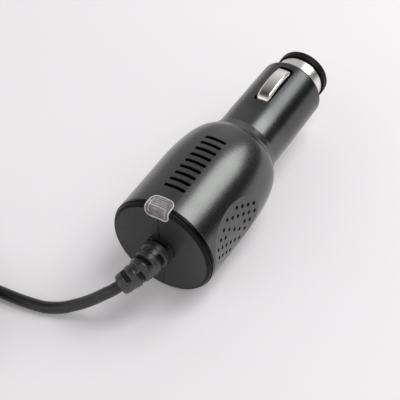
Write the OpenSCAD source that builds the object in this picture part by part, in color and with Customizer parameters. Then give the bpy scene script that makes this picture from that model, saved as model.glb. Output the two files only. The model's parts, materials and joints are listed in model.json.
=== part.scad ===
// Car charger plug for a 12 V socket, with its lead wound up beside it. Millimetres, +Z up.
// The plug lies on its side along X, tip towards +X. Stations along its axis, named _s, are counted from the
// cap's face, which is station 0. The origin is under the plug's middle, on the surface that it lies on.

/* [Body sleeve] */
// Outer radius of the body
body_r = 16.3; // [15.5:0.1:17.5]
// Wall of the body
body_wall = 2.2; // [2:0.1:2.6]
// Length of the straight part of the body
body_len = 28.6; // [28:0.1:32]
// Length of the domed shoulder
shoulder_len = 12.4; // [11:0.1:15]
// Power of the shoulder's curve, 2 is an ellipse
shoulder_power = 2.1; // [1.9:0.05:2.3]
// How far behind the shoulder's inside its outer curve starts
shoulder_lead = 6.4; // [5:0.2:8]
// Radius where the shoulder ends and the collar starts
neck_r = 11.8; // [11.4:0.1:12.4]
// Radius of the collar at its front edge
collar_r = 11; // [10.8:0.1:11.3]
// Length of the collar
collar_len = 4; // [3:0.1:6]

/* [Barrel] */
// Outer radius of the barrel, which goes into the socket
barrel_r = 10.4; // [10.3:0.05:10.5]
// Wall of the barrel
barrel_wall = 1.7; // [1.5:0.1:1.9]
// Length of the barrel
barrel_len = 30.5; // [30.5:0.1:34]
// Rounding of the barrel's front edge
barrel_edge = 1.1; // [0.4:0.1:1.5]
// How much slimmer the barrel is at its front edge than at its round land behind the contacts
barrel_draft = 0.15; // [0.1:0.05:0.3]

/* [Nose] */
// How far the nose ring lies inside the barrel's surface
nose_inset = 2.7; // [2.4:0.1:2.9]
// How far the nose cap stands out past the nose ring
nose_flange = 0.6; // [0.3:0.1:0.9]
// Length of the nose ring that shows
nose_ring_len = 5.5; // [4.5:0.1:7]
// Length of the nose cap
nose_cap_len = 2.9; // [2.2:0.1:4]
// Rounding of the nose cap's front edge
nose_edge = 0.9; // [0.3:0.1:1.2]
// Radius of the centre tip
tip_r = 3.4; // [3:0.1:3.8]
// How far the centre tip stands out of the nose cap
tip_out = 3.5; // [3.2:0.1:5]
// How far the centre tip can be pushed in
tip_travel = 3; // [2:0.1:3]

/* [Cap] */
// How far the cap's edge lies inside the body's surface
cap_inset = 0.3; // [0.1:0.05:0.8]
// How far the cap stands out of the sleeve, and the rounding of its edge
cap_proud = 1; // [0.6:0.1:1.4]
// Thickness of the cap's plate
cap_plate = 2.2; // [1.8:0.1:2.4]
// Wall of the liner behind the cap
liner_wall = 1.4; // [1.2:0.1:1.5]
// Gap between the two inner halves
seam_gap = 0.12; // [0.06:0.02:0.2]

/* [Light window] */
// Width of the window
window_w = 7.6; // [6:0.1:9]
// Where the window ends on the body, from the cap's face
window_end = 4.2; // [4.2:0.1:5.5]
// How far the window reaches down the cap's face
window_drop = 3.6; // [3:0.1:4.5]
// Rounding of the window's corners
window_corner = 1.9; // [1:0.1:2.4]
// How far the window stands out of the body and the cap
window_proud = 0.3; // [0.1:0.05:0.5]

/* [Vent slots] */
// Number of slots
slot_count = 9; // [6:1:9]
// Place of the first slot, from the cap's face
slot_first = 9.25; // [8:0.25:10]
// Distance from slot to slot
slot_pitch = 2.73; // [2:0.01:2.75]
// Width of a slot
slot_w = 1.2; // [0.9:0.05:1.4]
// Length of a slot from end to end
slot_len = 6.8; // [5:0.1:8]

/* [Grip panels] */
// Middle of the panel, from the cap's face
panel_s = 15.2; // [14.5:0.1:17]
// Length of the scooped panel
panel_len = 24; // [21:0.5:25]
// Depth of the scoop at its middle
panel_depth = 1.15; // [0.9:0.05:1.25]
// How far the panel's middle is turned up from the side
panel_rise = 5; // [0:1:14]
// Radius of the panel's curve round the body
panel_curve = 34.5; // [32:0.5:38]
// Radius of a grip hole
dot_r = 0.62; // [0.5:0.02:0.7]
// Depth of a grip hole at the middle of the panel
dot_depth = 0.45; // [0.3:0.05:0.5]
// Spread of the holes' pattern
dot_spread = 1; // [0.9:0.01:1.02]

/* [Side contacts] */
// Width of a contact spring
contact_w = 4.4; // [3.6:0.1:4.6]
// Thickness of its strip
contact_t = 0.4; // [0.3:0.05:0.5]
// Depth of its folded sides
contact_fold = 1.3; // [1:0.1:1.4]
// Length of the window in the barrel
contact_window_len = 16.8; // [16.6:0.1:17.2]
// Where the window starts, behind the barrel's front end
contact_window_back = 19.7; // [19.6:0.05:19.9]
// Rounding of the window's corners
contact_corner = 1; // [0.5:0.1:1.5]
// Length of the contact's root, from its eye to the window
contact_root = 5.7; // [5.4:0.1:6]

/* [Fuse] */
// Radius of the fuse's end caps
fuse_r = 2.6; // [2.5:0.05:2.7]
// Length of the fuse
fuse_len = 20; // [19.5:0.5:20]
// Length of each end cap
fuse_cap_len = 5; // [4:0.5:6]
// Space between the tube that holds the fuse and the barrel, for the contacts and their wires
fuse_tube_space = 3.5; // [3.4:0.1:3.7]
// Space for the spring behind the fuse
spring_len = 9.5; // [9:0.5:10]
// Wire radius of the spring
spring_wire_r = 0.3; // [0.2:0.05:0.35]
// Turns of the spring
spring_turns = 6; // [4:1:7]

/* [Circuit board] */
// Thickness of the board
board_t = 1.2; // [0.8:0.1:1.6]
// How far the board's top lies below the plug's axis
board_drop = 1; // [1:0.1:1.4]

/* [Strain relief] */
// Radius of the first ring of the strain relief
relief_r = 4.6; // [4.4:0.1:5]
// Radius of its last ring
relief_end_r = 3.1; // [2.8:0.1:3.4]
// Number of rings
relief_rings = 5; // [4:1:6]
// Share of a ring's pitch that the ring takes up
relief_fill = 0.58; // [0.5:0.02:0.7]
// Radius of the core between the rings
relief_core_r = 2.3; // [2.1:0.1:2.5]

/* [Lead] */
// Diameter of the cord
cord_d = 3.5; // [3.3:0.1:3.5]
// Radius of the coil at the middle of its turns
coil_r = 15.4; // [15.2:0.1:15.6]
// Turns beside each other in the coil
coil_turns = 3; // [2:1:3]
// Layers of turns
coil_layers = 3; // [2:1:3]
// Width of the tie round the coil
tie_w = 5; // [3:0.5:8]
// Thickness of the tie
tie_t = 0.6; // [0.4:0.1:0.8]

/* [Small plug] */
// Width of the small plug's grip
grip_w = 9; // [8.4:0.1:11]
// Height of the grip
grip_h = 5.2; // [5:0.1:6]
// Length of the grip
grip_len = 14; // [12:0.5:18]
// Length of the metal shell outside the grip
shell_len = 6.2; // [5:0.1:7]
// Width of the metal shell
shell_w = 6.8; // [6:0.1:7.2]
// Height of the metal shell
shell_h = 1.9; // [1.7:0.1:2.4]
// Wall of the metal shell
shell_wall = 0.3; // [0.2:0.05:0.4]

/* [Hidden] */
$fn = 96;

small = 36;
over = 1;
fit_gap = 0.1;
touch_gap = 0.05;

// Stations along the axis
sleeve_s = cap_proud;
shoulder_s = sleeve_s + body_len;
neck_s = shoulder_s + shoulder_len;
collar_s = neck_s + collar_len;
barrel_s = collar_s + barrel_len;
nose_cap_s = barrel_s + nose_ring_len;
nose_end_s = nose_cap_s + nose_cap_len;
tip_s = nose_end_s + tip_out;
tip_flange = 1.7;
tip_boss = 0.8;
tip_boss_r = 2.3;
fuse_front_s = nose_cap_s - tip_flange - tip_boss;
fuse_rear_s = fuse_front_s - fuse_len;
spring_s = fuse_rear_s - spring_len;
seat_t = 1;
seat_s = spring_s - seat_t;
window_front_s = -window_proud;

// The plug's axis in the model
axis_x = -(tip_s + window_front_s) / 2;
axis_z = body_r;

cap_r = body_r - cap_inset;
body_ri = body_r - body_wall;
barrel_ri = barrel_r - barrel_wall;
liner_r = body_ri - fit_gap;
liner_ri = liner_r - liner_wall;
bulkhead = 1.4;
scoop_r = (pow(panel_len / 2, 2) + pow(panel_depth, 2)) / (2 * panel_depth);
// Rows of grip holes from the panel's middle: first hole, last hole, count. Each has a twin half a turn on.
dot_rows = [[[3.05, 5.6], [9.95, 1.7], 4], [[-2.2, 5.5], [9.8, -1.1], 6], [[5, -1.3], [7.45, -2.7], 2],
            [[-4.85, 4.05], [0, 0], 3]];
liner_end_s = shoulder_s + bulkhead;
fuse_bore_r = fuse_r + fit_gap;
fuse_tube_r = barrel_ri - fuse_tube_space;
fuse_tube_end_s = nose_cap_s - tip_flange - tip_travel - 0.3;
stem_r = 0.9;
guide_r = barrel_ri - fit_gap;
guide_s = collar_s + 0.5;
guide_len = 2;
spigot_len = 2.3;
ring_bore_r = fuse_tube_r + fit_gap;
nose_r = barrel_r - nose_inset;
nose_cap_r = nose_r + nose_flange;
tip_flange_r = ring_bore_r - 0.4;

board_s = cap_plate + 0.4;
board_end_s = shoulder_s - 0.2;
board_top = -board_drop;
board_half = sqrt(pow(liner_ri, 2) - pow(board_drop + board_t, 2)) - 0.2;

relief_hole_r = 4.1;
relief_flange_r = 5.5;
relief_flange = 2;
relief_flange_s = cap_plate + touch_gap;
board_notch = 2 * (relief_flange_r + 0.7);
part_gap = 1.4;
chip_margin = 3.6;
core_r = 4;
core_h = 6;
core_flange = 0.8;

// Place across for a round part on the board, clear of the liner at its top
function beside_liner(r, h) = sqrt(pow(liner_ri, 2) - pow(h - board_drop, 2)) - r - part_gap;
inductor_y = beside_liner(core_r, core_h);

// Station on the board's free stretch, from the strain relief's flange to the board's front end
board_free_s = relief_flange_s + relief_flange;
function board_at(share) = board_free_s + share * (board_end_s - board_free_s);
inductor_s = board_at(0.63);

// The clear window's neck, and the nose cap's tongue in the nose ring
window_neck = 4;
tongue_r = nose_r - 2.1;
tongue_w = 1;
tongue_len = 1.2;

// Side contacts: the eye is the axis that a contact turns on, and z is counted from the plug's axis
contact_window_s = barrel_s - contact_window_back;
eye_s = contact_window_s - contact_root;
eye_z = barrel_ri - 1;
eye_r = 0.55;
// Middle line of the contact: its root, its rise from the window's start, its crown, and its fall, which is
// counted back from the window's end. Heights are counted from the eye.
contact_rise = [[0.1, 0.25], [0.6, 0.85], [1.1, 1.75], [1.8, 2.6], [2.9, 3.2], [4.6, 3.6], [6.8, 3.85]];
contact_fall = [[5.4, 3.8], [3.8, 3.5], [2.6, 3.15], [1.7, 2.75], [1, 2.3]];
contact_crown = [(6.8 + contact_window_len - 5.4) / 2, 3.92];
contact_end = contact_root + contact_window_len;
// The folded sides run from one point of the middle line to another, counted from its ends
contact_fold_from = 4;
contact_fold_to = 3;
contact_path = concat([[0, 0], [contact_root / 2, 0]],
                      [for (p = concat(contact_rise, [contact_crown])) p + [contact_root, 0]],
                      [for (p = contact_fall) [contact_end - p[0], p[1]]]);
terminal_t = 0.3;
cradle_top = eye_z - eye_r - fit_gap - terminal_t;
cradle_s = eye_s - 1.3;
cradle_len = 2.2;
wire_r = 0.5;
wire_y = 1.2;
wire_z = fuse_tube_r + wire_r + fit_gap;
wire_bend_s = board_at(0.84);

// The cord's route, chosen by hand: out of the strain relief, down to the surface and on to the coil
cord_route = [[-58.5, 3.8, 13.5], [-60.4, 5.4, 12.3], [-61.8, 7.5, 10.8], [-63, 10.2, 8.5],
              [-64.1, 13.2, 6.2], [-65.2, 16.2, 4.3], [-66.4, 19.1, 2.9], [-67.5, 22, 2.1],
              [-68.5, 25, 1.75], [-69.2, 28.5, 1.75], [-69.7, 32.5, 1.75], [-70, 37, 1.75],
              [-70.2, 42, 1.75], [-70.25, 48, 1.75], [-70.25, 52, 1.75]];
// The tail's route, from the coil's middle: up out of the top layer's inner turn and over it
tail_around = [[-10.7, -5, 8.75], [-8.3, -8.3, 9.3], [-5, -10.7, 10.3], [-1, -11.9, 11.3],
               [3.1, -11.7, 12.1], [7.1, -10.2, 12.45], [10.5, -7.3, 12.5], [12.7, -3.4, 12.5],
               [13.2, 1.2, 12.5], [12.1, 5.7, 12.6], [9.5, 9.5, 12.8], [6.3, 11.9, 13], [2.8, 13, 13.15]];
grip_turn = 168;
coil_x = -89.25;
coil_y = 54.8;
tail_route = [for (p = tail_around) p + [coil_x, coil_y, 0]];
tie_angle = 172;

turn_gap = 0.1;
coil_w = coil_turns * (cord_d + turn_gap) - turn_gap;
coil_h = coil_layers * cord_d;

// A body of revolution about the plug's axis, from points [radius, station]
module turned(points) {
    rotate([0, 90, 0]) rotate_extrude() polygon(points);
}

// Puts children, drawn round the X axis with station 0 at the origin, on the plug's axis
module on_axis() {
    translate([axis_x, 0, axis_z]) children();
}

// A rod along the axis from one station to another
module rod(r, from, to, sides = small) {
    translate([from, 0, 0]) rotate([0, 90, 0]) cylinder(r = r, h = to - from, $fn = sides);
}

// A rectangle from [x0, y0] to [x1, y1] with round corners
module rounded(x0, y0, x1, y1, r) {
    translate([x0 + r, y0]) square([x1 - x0 - 2 * r, y1 - y0]);
    translate([x0, y0 + r]) square([x1 - x0, y1 - y0 - 2 * r]);
    for (x = [x0 + r, x1 - r], y = [y0 + r, y1 - r])
        translate([x, y]) circle(r = r, $fn = small);
}

// Shoulder: a superellipse that falls from radius r0 at station s0 to radius r1 at station s1
function shoulder_points(s0, r0, s1, r1, end = 90, steps = 16) =
    [for (i = [0:steps]) let (a = end * i / steps)
        [r1 + (r0 - r1) * pow(cos(a), 2 / shoulder_power), s0 + (s1 - s0) * pow(sin(a), 2 / shoulder_power)]];

// Quarter of a circle about [r, s], from angle a0 to a1
function arc_points(r, s, radius, a0, a1, steps = 6) =
    [for (i = [0:steps]) let (a = a0 + (a1 - a0) * i / steps) [r + radius * cos(a), s + radius * sin(a)]];

// Curve from a to c that leaves a towards b and arrives from b, without a itself
function fillet_points(a, b, c, steps = 6) =
    [for (i = [1:steps]) let (t = i / steps) pow(1 - t, 2) * a + 2 * t * (1 - t) * b + t * t * c];

function unit(v) = v / norm(v);

// Point on a smooth curve through a list of points, at a place counted in points
function curve_at(p, t) =
    let (n = len(p) - 1, i = min(floor(t), n - 1), u = t - i,
         a = p[max(i - 1, 0)], b = p[i], c = p[i + 1], d = p[min(i + 2, n)])
    0.5 * (2 * b + (c - a) * u + (2 * a - 5 * b + 4 * c - d) * u * u + (3 * b - a - 3 * c + d) * u * u * u);

// Ring of points round a centre, square to a direction, with its first point across from the way up
function ring_at(centre, along, r, sides, upward) =
    let (side = unit(cross(upward, along)), up = cross(along, side))
    [for (k = [0:sides - 1]) centre + r * (cos(360 * k / sides) * side + sin(360 * k / sides) * up)];

// A closed skin over rings, each given as [centre, direction, radius]
module swept(rings, sides, upward = [0, 0, 1]) {
    n = len(rings);
    start = [for (k = [0:sides - 1]) k];
    end = [for (k = [sides - 1:-1:0]) (n - 1) * sides + k];
    walls = [for (i = [0:n - 2], k = [0:sides - 1]) let (a = i * sides, b = a + sides, next = (k + 1) % sides)
        [b + k, b + next, a + next, a + k]];
    points = [for (q = rings) each ring_at(q[0], q[1], q[2], sides, upward)];
    polyhedron(points, concat([start, end], walls), convexity = 10);
}

// A round tube of one radius along a smooth curve through a list of points
module tube(route, r, rings, sides = 8) {
    n = len(route) - 1;
    nudge = 0.01;
    swept([for (i = [0:rings]) let (t = n * i / rings, back = max(t - nudge, 0), ahead = min(t + nudge, n))
        [curve_at(route, t), unit(curve_at(route, ahead) - curve_at(route, back)), r]], sides);
}

module window_plan(gap) {
    // Outline from above, open towards the cap
    rounded(-over - window_corner, -window_w / 2 - gap, window_end + gap, window_w / 2 + gap, window_corner);
}

module window_front(gap) {
    // Outline from the front, open upwards
    rounded(cap_r - window_drop - gap, -window_w / 2 - gap, body_r + 3, window_w / 2 + gap, window_corner);
}

// The room that the light window takes out of the sleeve and the cap
module window_room(gap) {
    intersection() {
        translate([0, 0, body_r / 2]) linear_extrude(body_r) window_plan(gap);
        translate([-over, 0, 0]) rotate([0, -90, 180])
            linear_extrude(window_end + 2 * over) window_front(gap);
    }
}

// Height of the scoop over its middle, at a distance along the plug
function scoop_rise(along) = scoop_r - sqrt(pow(scoop_r, 2) - pow(along, 2));

// The scoop and its holes on one side, side is 1 for -Y and -1 for +Y
module grip_panel(side) {
    reach = panel_len / 2 + 1.5;
    steps = 12;
    middle_z = body_r - panel_depth - panel_curve;
    rotate([side * (90 - panel_rise), 0, 0]) {
        translate([0, 0, middle_z]) turned(concat(
            [for (i = [-steps:steps]) let (along = reach * i / steps)
                [panel_curve + scoop_rise(along), panel_s + along]],
            [[panel_curve + 12, panel_s + reach], [panel_curve + 12, panel_s - reach]]));
        for (row = dot_rows, half = [1, -1], i = [0:row[2] - 1]) {
            dot = half * dot_spread * (row[0] + (row[1] - row[0]) * i / (row[2] - 1));
            floor_z = middle_z + sqrt(pow(panel_curve + scoop_rise(dot[0]), 2) - pow(dot[1], 2)) - dot_depth;
            translate([panel_s + dot[0], dot[1], floor_z]) cylinder(r = dot_r, h = 3, $fn = 20);
        }
    }
}

module vent_slots() {
    for (i = [0:slot_count - 1])
        translate([slot_first + i * slot_pitch, 0, body_r / 2]) linear_extrude(body_r)
            rounded(-slot_w / 2, -slot_len / 2, slot_w / 2, slot_len / 2, slot_w / 2 - 0.01);
}

// Both windows for the side contacts
module contact_windows() {
    half = contact_w / 2 + 0.4;
    for (turn = [0, 180]) rotate([turn, 0, 0]) translate([0, 0, barrel_ri / 2]) linear_extrude(barrel_r)
        rounded(contact_window_s, -half, contact_window_s + contact_window_len, half, contact_corner);
}

module body_shell() {
    rim = 0.3;
    front_r = barrel_r - barrel_draft - barrel_edge;
    round_part = shoulder_points(shoulder_s - shoulder_lead, body_r, neck_s, neck_r, 79);
    outer = concat([[body_ri, sleeve_s], [body_r - rim, sleeve_s], [body_r, sleeve_s + rim]],
                   round_part, fillet_points(round_part[len(round_part) - 1], [neck_r - 0.3, neck_s + 0.5],
                                             [collar_r + 0.25, neck_s + 0.6 * collar_len]),
                   [[collar_r, collar_s - 0.15],
                    [collar_r - 0.15, collar_s], [barrel_r, collar_s], [barrel_r, contact_window_s]],
                   arc_points(front_r, barrel_s - barrel_edge, barrel_edge, 0, 90));
    inner_end = neck_s - 1.2;
    inner = shoulder_points(shoulder_s, body_ri, inner_end, barrel_ri);
    inside = concat([[barrel_ri, barrel_s]], [for (i = [len(inner) - 1:-1:0]) inner[i]]);
    color([0.32, 0.33, 0.33]) on_axis() difference() {
        turned(concat(outer, inside));
        window_room(touch_gap);
        vent_slots();
        contact_windows();
        grip_panel(1);
        grip_panel(-1);
    }
}

// Both inner halves together: cap plate, liner, bulkhead and fuse tube, before they are parted
module inner_parts() {
    difference() {
        union() {
            turned(concat([[relief_hole_r, 0]],
                          arc_points(cap_r - cap_proud, cap_proud, cap_proud, -90, 0),
                          [[liner_r, cap_proud], [liner_r, liner_end_s], [fuse_tube_r, liner_end_s],
                           [fuse_tube_r, fuse_tube_end_s], [fuse_bore_r, fuse_tube_end_s],
                           [fuse_bore_r, seat_s], [stem_r + fit_gap, seat_s],
                           [stem_r + fit_gap, shoulder_s], [liner_ri, shoulder_s],
                           [liner_ri, cap_plate], [relief_hole_r, cap_plate]]));
            turned([[fuse_tube_r - 0.5, guide_s], [guide_r, guide_s], [guide_r, guide_s + guide_len],
                    [fuse_tube_r - 0.5, guide_s + guide_len]]);
            for (side = [-1, 1])
                translate([cradle_s, -contact_w / 2, side > 0 ? fuse_tube_r - 0.8 : -cradle_top])
                    cube([cradle_len, contact_w, cradle_top - fuse_tube_r + 0.8]);
        }
        window_room(touch_gap);
        translate([cap_plate, -window_neck / 2 - fit_gap, liner_ri - over])
            cube([window_end - cap_plate + fit_gap, window_neck + 2 * fit_gap, liner_wall + 2 * over]);
        for (side = [-1, 1]) translate([0, wire_y, side * wire_z])
            rod(wire_r + fit_gap, shoulder_s - over, guide_s + guide_len + over);
    }
}
module inner_half(side) {
    color([0.1, 0.1, 0.1]) on_axis() intersection() {
        inner_parts();
        translate([-over, side > 0 ? seam_gap / 2 : -body_r - over, -body_r - over])
            cube([tip_s, body_r + over - seam_gap / 2, 2 * body_r + 2 * over]);
    }
}

module inner_half_left() {
    inner_half(1);
}

module inner_half_right() {
    inner_half(-1);
}

module led_window() {
    top = body_r + window_proud;
    round = 0.9;
    shelf = 1.3;
    seat = liner_r + touch_gap;
    neck_t = 1.5;
    arm_z = liner_ri - 1.5;
    color([0.85, 0.83, 0.85, 0.6]) on_axis() {
        intersection() {
            turned(concat([[seat, window_end], [seat, shelf], [cap_r - window_drop, shelf],
                           [cap_r - window_drop, window_front_s]],
                          arc_points(top - round, window_front_s + round, round, -90, 0),
                          [[top, window_end]]));
            window_room(0);
        }
        translate([window_end - neck_t - 0.1, -window_neck / 2, arm_z])
            cube([neck_t, window_neck, seat - arm_z + 0.3]);
        translate([window_end - neck_t - 0.1, -window_neck / 2, arm_z]) cube([5, window_neck, 1.2]);
    }
}

module led() {
    lens_r = 1.5;
    led_s = 6.4;
    top = liner_ri - 1.8;
    base = top - 4.6;
    color([0.9, 0.85, 0.85]) on_axis() translate([led_s, 0, 0]) {
        translate([0, 0, base]) cylinder(r = lens_r, h = 4.6 - lens_r, $fn = small);
        translate([0, 0, top - lens_r]) sphere(r = lens_r, $fn = small);
        translate([0, 0, base]) cylinder(r = lens_r + 0.35, h = 0.7, $fn = small);
        for (y = [-0.65, 0.65])
            translate([-0.2, y - 0.2, board_top]) cube([0.4, 0.4, base - board_top + 0.3]);
    }
}

module circuit_board() {
    color([0.1, 0.35, 0.2]) on_axis() difference() {
        translate([board_s, -board_half, board_top - board_t])
            cube([board_end_s - board_s, 2 * board_half, board_t]);
        translate([board_s - over, -board_notch / 2, board_top - board_t - over])
            cube([relief_flange_s + relief_flange - board_s + 0.4 + over, board_notch, board_t + 2 * over]);
    }
}

// Puts a part on the board's top at a station and a place across
module on_board(s, y) {
    on_axis() translate([s, y, board_top]) children();
}

module inductor_core() {
    color([0.25, 0.25, 0.27]) on_board(inductor_s, inductor_y) {
        cylinder(r = core_r, h = core_flange, $fn = small);
        translate([0, 0, core_h - core_flange]) cylinder(r = core_r, h = core_flange, $fn = small);
        cylinder(r = core_r / 2, h = core_h, $fn = small);
    }
}

module inductor_winding() {
    color([0.75, 0.4, 0.2]) on_board(inductor_s, inductor_y) translate([0, 0, core_flange]) difference() {
        cylinder(r = core_r - 0.3, h = core_h - 2 * core_flange, $fn = small);
        translate([0, 0, -over]) cylinder(r = core_r / 2, h = core_h + over, $fn = small);
    }
}

// An upright capacitor can with a groove near its foot
module capacitor(r, h) {
    rotate_extrude($fn = small)
        polygon([[0, 0], [r, 0], [r, 0.6], [r - 0.3, 0.9], [r, 1.2], [r, h - 0.3], [r - 0.3, h], [0, h]]);
}

module input_capacitor() {
    r = 3.15;
    h = 7;
    color([0.2, 0.2, 0.35]) on_board(board_at(0.3), -beside_liner(r, h)) capacitor(r, h);
}

module output_capacitor() {
    r = 2.5;
    h = 6.5;
    color([0.2, 0.2, 0.35]) on_board(board_at(0.26), beside_liner(r, h)) capacitor(r, h);
}

module regulator() {
    feet = 6;
    color([0.12, 0.12, 0.12]) on_board(board_at(0.63), chip_margin + feet / 2 - board_half) {
        translate([-2.5, -2, 0.2]) cube([5, 4, 1.5]);
        for (i = [-1.5:1:1.5]) translate([i * 1.27 - 0.2, -feet / 2, 0]) cube([0.4, feet, 0.3]);
    }
}

module diode() {
    feet = 5.2;
    color([0.15, 0.15, 0.15]) on_board(board_at(0.86), chip_margin + feet / 2 - board_half) {
        translate([-1.3, -2.15, 0.2]) cube([2.6, 4.3, 2]);
        translate([-0.7, -feet / 2, 0]) cube([1.4, feet, 0.3]);
    }
}

module cord_wires() {
    r = 0.6;
    color([0.6, 0.15, 0.12]) on_axis() for (y = [-2.2, 2.2])
        translate([0, y, board_top + r]) rod(r, board_free_s, board_at(0.18));
}

// An insulated wire from the board, round a corner and along the fuse tube to a contact's terminal
module ground_wire(side) {
    start = side > 0 ? board_top : board_top - board_t;
    color([0.15, 0.15, 0.17]) on_axis() translate([0, wire_y, 0]) {
        translate([0, 0, side * wire_z]) rod(wire_r, wire_bend_s, cradle_s - terminal_t);
        translate([wire_bend_s, 0, side * wire_z]) sphere(r = wire_r, $fn = small);
        translate([wire_bend_s, 0, min(start, side * wire_z)])
            cylinder(r = wire_r, h = abs(side * wire_z - start), $fn = small);
    }
}

module ground_wire_top() {
    ground_wire(1);
}

module ground_wire_bottom() {
    ground_wire(-1);
}

// A brass strip folded over a cradle: the contact's eye turns on it, and the wire ends at its rear
module ground_terminal(turn) {
    color([0.75, 0.6, 0.3]) on_axis() rotate([turn, 0, 0]) {
        translate([cradle_s - terminal_t, -contact_w / 2, cradle_top])
            cube([cradle_len + terminal_t, contact_w, terminal_t]);
        translate([cradle_s - terminal_t, -contact_w / 2, fuse_tube_r + fit_gap])
            cube([terminal_t, contact_w, cradle_top - fuse_tube_r - fit_gap + terminal_t]);
    }
}

module ground_terminal_top() {
    ground_terminal(0);
}

module ground_terminal_bottom() {
    ground_terminal(180);
}

module spring_seat() {
    color([0.75, 0.6, 0.3]) on_axis() {
        rod(fuse_r, seat_s, spring_s);
        rod(stem_r, board_end_s - 3, seat_s + 0.2);
    }
}

module tip_spring() {
    turn_r = fuse_r - 0.15 - spring_wire_r;
    steps = 14 * spring_turns;
    travel = spring_len - 2 * spring_wire_r;
    color([0.7, 0.7, 0.7]) on_axis()
        swept([for (i = [0:steps]) let (a = 360 * spring_turns * i / steps)
            [[spring_s + spring_wire_r + travel * i / steps, turn_r * cos(a), turn_r * sin(a)],
             unit([travel / (2 * PI * spring_turns * turn_r), -sin(a), cos(a)]), spring_wire_r]],
            6, [1, 0, 0]);
}

// A fuse's end cap: a cup with the glass inside it
module fuse_cap(from) {
    glass_r = fuse_r - 0.25;
    floor_t = 0.4;
    rear = from < fuse_front_s - fuse_len / 2;
    hollow_s = rear ? from + floor_t : from - over;
    color([0.78, 0.78, 0.76]) on_axis() difference() {
        rod(fuse_r, from, from + fuse_cap_len);
        rod(glass_r, hollow_s, hollow_s + fuse_cap_len - floor_t + over);
    }
}

module fuse_cap_rear() {
    fuse_cap(fuse_rear_s);
}

module fuse_cap_front() {
    fuse_cap(fuse_front_s - fuse_cap_len);
}

module fuse_glass() {
    glass_r = fuse_r - 0.25;
    color([0.8, 0.85, 0.85, 0.4]) on_axis() rod(glass_r, fuse_rear_s + 0.4, fuse_front_s - 0.4);
}

module centre_tip() {
    round = 2.2;
    color([0.75, 0.74, 0.7]) on_axis() turned(concat(
        [[0, fuse_front_s], [tip_boss_r, fuse_front_s], [tip_boss_r, fuse_front_s + tip_boss],
         [tip_flange_r, fuse_front_s + tip_boss], [tip_flange_r, nose_cap_s], [tip_r, nose_cap_s]],
        arc_points(tip_r - round, tip_s - round, round, 0, 90), [[0, tip_s]]));
}

module nose_ring() {
    lip = 0.4;
    color([0.78, 0.76, 0.73]) on_axis() difference() {
        turned([[ring_bore_r, barrel_s - spigot_len], [guide_r, barrel_s - spigot_len], [guide_r, barrel_s],
                [nose_r, barrel_s], [nose_r, nose_cap_s - lip], [nose_r - lip, nose_cap_s],
                [ring_bore_r, nose_cap_s]]);
        turned([[tongue_r - touch_gap, nose_cap_s - tongue_len - touch_gap],
                [tongue_r + tongue_w + touch_gap, nose_cap_s - tongue_len - touch_gap],
                [tongue_r + tongue_w + touch_gap, nose_cap_s + over],
                [tongue_r - touch_gap, nose_cap_s + over]]);
    }
}

module nose_cap() {
    bore = tip_r + fit_gap;
    back_edge = 0.2;
    color([0.1, 0.09, 0.09]) on_axis() turned(concat(
        [[bore, nose_cap_s], [tongue_r, nose_cap_s], [tongue_r, nose_cap_s - tongue_len],
         [tongue_r + tongue_w, nose_cap_s - tongue_len], [tongue_r + tongue_w, nose_cap_s],
         [nose_cap_r - back_edge, nose_cap_s], [nose_cap_r, nose_cap_s + back_edge]],
        arc_points(nose_cap_r - nose_edge, nose_end_s - nose_edge, nose_edge, 0, 90),
        [[bore + 0.4, nose_end_s], [bore, nose_end_s - 0.4]]));
}

// One side of the contact's strip, at a distance from its middle line
function strip_side(d) =
    let (last = len(contact_path) - 1)
    [for (i = [0:last]) let (t = unit(contact_path[min(i + 1, last)] - contact_path[max(i - 1, 0)]))
        contact_path[i] + d * [-t[1], t[0]]];

// The contact's strip and a folded side, as polygons seen from the side; the fold's ends are slanted
module strip_profile() {
    low = strip_side(-contact_t / 2);
    polygon(concat(strip_side(contact_t / 2), [for (i = [len(low) - 1:-1:0]) low[i]]));
}

module fold_profile(from, to) {
    top = strip_side(0.1 * contact_t);
    foot = strip_side(-contact_fold);
    polygon(concat([for (i = [from:to]) top[i]], [for (i = [to - 1:-1:from + 1]) foot[i]]));
}

module side_contact(turn) {
    last = len(contact_path) - 1;
    reach = contact_path[last][0] + contact_t / 2;
    half = contact_w / 2;
    color([0.78, 0.76, 0.72]) on_axis() rotate([turn, 0, 0]) translate([eye_s, 0, eye_z]) {
        intersection() {
            rotate([90, 0, 0]) translate([0, 0, -half]) linear_extrude(contact_w) strip_profile();
            translate([0, 0, -over]) linear_extrude(8) rounded(-3, -half, reach, half, 1.9);
        }
        for (side = [touch_gap - half, half - touch_gap - contact_t])
            rotate([90, 0, 0]) translate([0, 0, side]) linear_extrude(contact_t)
                fold_profile(contact_fold_from, last - contact_fold_to);
        rotate([90, 0, 0]) cylinder(r = eye_r, h = contact_w, center = true, $fn = small);
    }
}

module side_contact_top() {
    side_contact(0);
}

module side_contact_bottom() {
    side_contact(180);
}

// Middle line of the strain relief: straight out of the cap, then round to the cord's first stretch
relief_start = [axis_x - touch_gap, 0, axis_z];
relief_b = relief_start - [6, 0, 0];
relief_c = cord_route[0] - 5 * unit(cord_route[1] - cord_route[0]);
function relief_at(t) =
    let (u = 1 - t)
    u * u * u * relief_start + 3 * u * u * t * relief_b + 3 * u * t * t * relief_c
    + t * t * t * cord_route[0];
function relief_along(t) =
    let (u = 1 - t)
    unit(u * u * (relief_b - relief_start) + 2 * u * t * (relief_c - relief_b)
         + t * t * (cord_route[0] - relief_c));
function relief_outer(t) = relief_r + (relief_end_r - relief_r) * t;

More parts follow.
